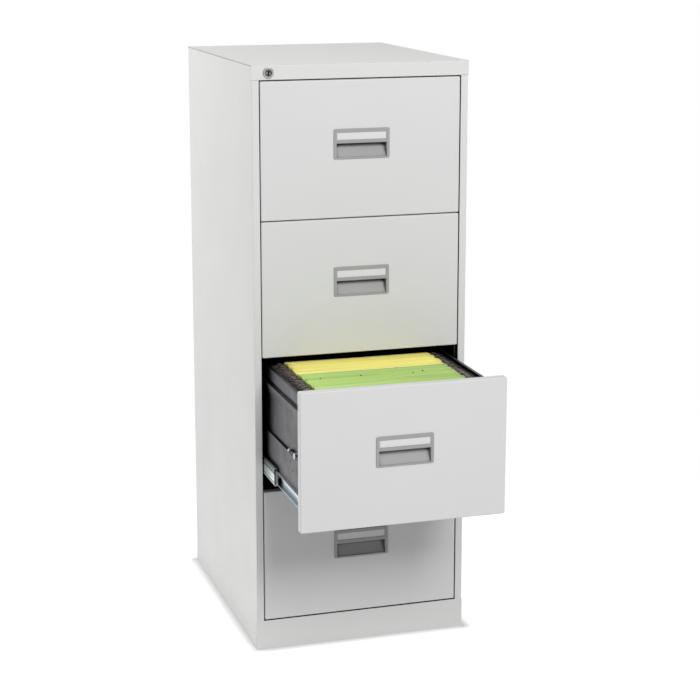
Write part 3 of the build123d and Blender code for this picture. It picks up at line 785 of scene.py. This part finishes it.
def make_files(name, node, slot, count):
    """A set of files of one colour, where the CAD node has its solids."""
    low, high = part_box(node)
    pitch = (high.y - low.y + FILE_GAP) / count
    top = high.z - FILE_INSET
    builder = bmesh.new()
    for index in range(count):
        start = low.y + index * pitch
        outline = sling_outline(start, start + pitch - FILE_GAP, low.z + FILE_INSET, top)
        add_sling(builder, outline, high.x, top)
    mesh = built_mesh(name, builder)
    mesh.shade_smooth()
    mesh.set_sharp_from_angle(angle=FOLD_ANGLE)
    piece = new_piece(name, mesh, f"drawer_{OPEN_DRAWER}", slot, node)
    sheet = piece.modifiers.new("card", "SOLIDIFY")
    sheet.thickness = CARD_SHEET
    sheet.offset = 0.0


make_files("green_files", "hanging_files_green", "file_green", GREEN_COUNT)
make_files("yellow_files", "hanging_files_yellow", "file_yellow", YELLOW_COUNT)


# Hooks at the ends of the files' bars

HOOKS_PER_FILE = 2
HOOK_COUNT = HOOKS_PER_FILE * (GREEN_COUNT + YELLOW_COUNT)
HOOK_SHEET = 4.6 * MM
HOOK_SOFTNESS = 0.4 * MM
NOSE_SHEET = 1.5 * MM
NOSE_ROOT = 4 * MM
RAIL_FREE = 4.2 * MM
RAIL_GRIP = 5 * MM

# How unevenly the hooks sit: along the rail, at their ends, at their tops and in thickness
ALONG_RANGE = (-0.6 * MM, 0.6 * MM)
END_RANGE = (-2.2 * MM, 1.0 * MM)
CREST_RANGE = (0.0, 2.4 * MM)
SHEET_RANGE = (0.75, 1.2)


def grip_outline(inner, outer, top):
    """Section of the thick part of a hook, which holds the end of the file's bar."""
    return [
        (inner - 4 * MM, top - 12 * MM),
        (inner - 4 * MM, top - 6 * MM),
        (inner + 2 * MM, top - 2.5 * MM),
        (inner + 6 * MM, top - 0.3 * MM),
        (outer - 5 * MM, top - 0.6 * MM),
        (outer - 1.4 * MM, top - 2.6 * MM),
        (outer, top - 6 * MM),
        (outer - 1 * MM, top - 13 * MM),
        (inner + 5 * MM, top - 15 * MM),
    ]


def nose_outline(start, outer, top, foot):
    """Section of the thin nose that reaches over the rail."""
    return [
        (start, top - 4 * MM),
        (outer - 4 * MM, top - 4.6 * MM),
        (outer - 0.8 * MM, top - 6.5 * MM),
        (outer, top - 9 * MM),
        (outer - 0.5 * MM, foot),
        (outer - 3 * MM, foot - 1.2 * MM),
        (RAIL_PLACE + 2.6 * MM, foot),
        (RAIL_PLACE + 2.6 * MM, foot + 6 * MM),
        (RAIL_PLACE - 1.4 * MM, foot + 6 * MM),
        (RAIL_PLACE - 1.4 * MM, foot + 2.5 * MM),
        (start, top - 13 * MM),
    ]


def add_plate(builder, outline, side, middle, sheet):
    """Flat plate of an outline, standing across the drawer."""
    rings = []
    for offset in (-sheet / 2, sheet / 2):
        rings.append([(side * x, middle + offset, z) for x, z in outline])
    add_closed_form(builder, *rings)


def add_hook(builder, side, middle, inner, outer, top, foot):
    """One hook, set a little unevenly on the rail."""
    middle += chance.uniform(*ALONG_RANGE)
    end = RAIL_PLACE - RAIL_FREE + chance.uniform(*END_RANGE)
    crest = top - chance.uniform(*CREST_RANGE)
    sheet = HOOK_SHEET * chance.uniform(*SHEET_RANGE)
    add_plate(builder, grip_outline(inner, end, crest), side, middle, sheet)
    nose = nose_outline(end - NOSE_ROOT, outer, crest, foot)
    add_plate(builder, nose, side, middle, NOSE_SHEET)


def make_hooks():
    """Two hooks to each file on both sides."""
    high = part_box("file_hooks")[1]
    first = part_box("hanging_files_green")[0].y
    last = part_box("hanging_files_yellow")[1].y + FILE_GAP
    pitch = (last - first) / HOOK_COUNT
    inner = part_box("hanging_files_green")[1].x + FILE_INSET
    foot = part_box(f"drawer_{OPEN_DRAWER}_hanging_rails")[1].z - RAIL_GRIP
    builder = bmesh.new()
    for side in (-1, 1):
        for index in range(HOOK_COUNT):
            middle = first + (index + 0.5) * pitch
            add_hook(builder, side, middle, inner, high.x, high.z, foot)
    body = f"drawer_{OPEN_DRAWER}"
    new_solid("hooks", builder, HOOK_SOFTNESS, body, "hook_plastic", "file_hooks")


make_hooks()


# Ball cages that show at the front ends of the slides' middle members

CAGE_OUT = 34 * MM
CAGE_IN = 60 * MM
CAGE_SHEET = 0.9 * MM
CAGE_SPAN = (223.1 * MM, 226.4 * MM)
CAGE_HALF = 11.4 * MM
CAGE_POINT = 0.9
CAGE_SOFTNESS = 0.25 * MM


def cage_outline():
    """Section of a cage: a flat back with two lips that reach round the balls."""
    near, far = CAGE_SPAN
    back = far - CAGE_SHEET
    lip = CAGE_HALF - CAGE_SHEET
    return [
        (near, CAGE_HALF),
        (far, CAGE_HALF),
        (far, -CAGE_HALF),
        (near, -CAGE_HALF),
        (near, -lip),
        (back, -lip),
        (back, lip),
        (near, lip),
    ]


def make_cages(number):
    """Both cages of a drawer's slides, their front ends cut back in a point."""
    low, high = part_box(f"drawer_{number}_mid_rails")
    height = (low.z + high.z) / 2
    outline = cage_outline()
    builder = bmesh.new()
    for side in (-1, 1):
        start = low.y - CAGE_OUT
        front = [(side * x, start + abs(z) * CAGE_POINT, height + z) for x, z in outline]
        back = [(side * x, low.y + CAGE_IN, height + z) for x, z in outline]
        add_closed_form(builder, front, back)
    body = f"drawer_{number}_slide_members"
    new_solid(f"drawer_{number}_ball_cages", builder, CAGE_SOFTNESS, body, "black_steel")


# Rolled stops at the front ends of the middle members

STOP_SPAN = (222.4 * MM, 228.1 * MM)
STOP_BASE = 18.3 * MM
STOP_SOFTNESS = 0.3 * MM


def stop_outline(front):
    """Section of a stop: the lip's end, rolled outward ahead of the member."""
    steps = ((0.5, -1.0), (0.5, 0.1), (-0.8, 0.3), (-1.7, 1.1), (-1.9, 2.4), (-3.1, 2.3))
    steps += ((-2.9, 0.7), (-1.6, -0.6), (-0.2, -1.0))
    return [(front + y * MM, STOP_BASE + z * MM) for y, z in steps]


def make_stops(number):
    """Stops above and below, on both middle members of a drawer's slides."""
    low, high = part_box(f"drawer_{number}_mid_rails")
    middle = (low.z + high.z) / 2
    outline = stop_outline(low.y)
    builder = bmesh.new()
    for side in (-1, 1):
        for sign in (-1, 1):
            rings = [[(side * x, y, middle + sign * z) for y, z in outline] for x in STOP_SPAN]
            add_closed_form(builder, *rings)
    body = f"drawer_{number}_slide_members"
    new_solid(f"drawer_{number}_slide_stops", builder, STOP_SOFTNESS, body, "bolt_zinc")


for drawer in DRAWERS:
    make_cages(drawer)
    make_stops(drawer)


# Floor, light and camera

def make_world():
    """White surroundings that light the cabinet at a plain level."""
    world = bpy.data.worlds.new("studio")
    bpy.context.scene.world = world
    nodes = Nodes(world)
    background = nodes.tree.nodes["Background"]
    nodes.join(WHITE, background.inputs["Color"])
    level = nodes.spread(nodes.view_ray(), 0.0, 1.0, AMBIENT, 1.0)
    nodes.join(level, background.inputs["Strength"])


def floor_distance(nodes):
    """Distance from the cabinet's footprint on the floor."""
    place = nodes.add("ShaderNodeTexCoord").outputs["Object"]
    corner = (cad_high.x, cad_high.y, 0.0)
    plain = nodes.vector_math("ABSOLUTE", place)["Vector"]
    beyond = nodes.vector_math("SUBTRACT", plain, corner)["Vector"]
    outside = nodes.vector_math("MAXIMUM", beyond)["Vector"]
    return nodes.vector_math("LENGTH", outside)["Value"]


def floor_material():
    """Pale floor that keeps the shadow near the cabinet, with a painted contact shadow round the
    footprint, and turns white further out.
    """
    material = bpy.data.materials.new("floor_finish")
    nodes = Nodes(material)
    nodes.tree.nodes.clear()
    seen = nodes.view_ray()
    distance = floor_distance(nodes)
    matt = nodes.add("ShaderNodeBsdfDiffuse")
    nodes.join((FLOOR_TONE, FLOOR_TONE, FLOOR_TONE), matt.inputs["Color"])
    lift = nodes.add("ShaderNodeEmission")
    # painted contact shadow: less glow within a few centimetres of the footprint
    raised = nodes.spread(distance, 0.0, CONTACT_SHADOW_WIDTH, CONTACT_SHADOW_LIFT, FLOOR_LIFT)
    nodes.join(nodes.every(seen, raised), lift.inputs["Strength"])
    near = nodes.add("ShaderNodeAddShader")
    nodes.join(matt.outputs[0], near.inputs[0])
    nodes.join(lift.outputs[0], near.inputs[1])
    white = nodes.add("ShaderNodeEmission")
    mix = nodes.add("ShaderNodeMixShader")
    nodes.join(nodes.every(nodes.spread(distance, *FLOOR_FADE), seen), mix.inputs[0])
    nodes.join(near.outputs[0], mix.inputs[1])
    nodes.join(white.outputs[0], mix.inputs[2])
    output = nodes.add("ShaderNodeOutputMaterial")
    nodes.join(mix.outputs[0], output.inputs["Surface"])
    return material


def make_floor():
    """Round pale floor under the cabinet."""
    builder = bmesh.new()
    bmesh.ops.create_circle(
        builder, cap_ends=True, radius=FLOOR_RADIUS, segments=FLOOR_SEGMENTS
    )
    mesh = built_mesh("floor", builder)
    mesh.materials.append(floor_material())
    floor = bpy.data.objects.new("floor", mesh)
    bpy.context.collection.objects.link(floor)


def place_aimed(name, data, place, direction):
    """Put a lamp or the camera in the scene, looking along a direction."""
    thing = bpy.data.objects.new(name, data)
    bpy.context.collection.objects.link(thing)
    thing.location = place
    thing.rotation_mode = "QUATERNION"
    thing.rotation_quaternion = direction.to_track_quat("-Z", "Y")
    return thing


def add_lamp(name, place, size, power):
    """Rectangular soft light aimed at the cabinet."""
    data = bpy.data.lights.new(name, "AREA")
    data.shape = "RECTANGLE"
    data.size, data.size_y = size
    data.energy = power
    place_aimed(name, data, place, Vector(LIGHT_TARGET) - Vector(place))


def make_camera():
    """Camera at the photograph's viewing angle."""
    data = bpy.data.cameras.new("camera")
    data.lens = CAMERA_LENS
    data.sensor_width = CAMERA_SENSOR
    data.shift_y = CAMERA_SHIFT
    azimuth = radians(CAMERA_AZIMUTH)
    elevation = radians(CAMERA_ELEVATION)
    aside = sin(azimuth) * cos(elevation)
    back = Vector((aside, -cos(azimuth) * cos(elevation), sin(elevation)))
    bpy.context.scene.camera = place_aimed("camera", data, CAMERA_PLACE, -back)


make_world()
make_floor()
add_lamp("left", **LEFT_LAMP)
add_lamp("front", **FRONT_LAMP)
make_camera()

scene = bpy.context.scene
scene.view_settings.view_transform = "Standard"
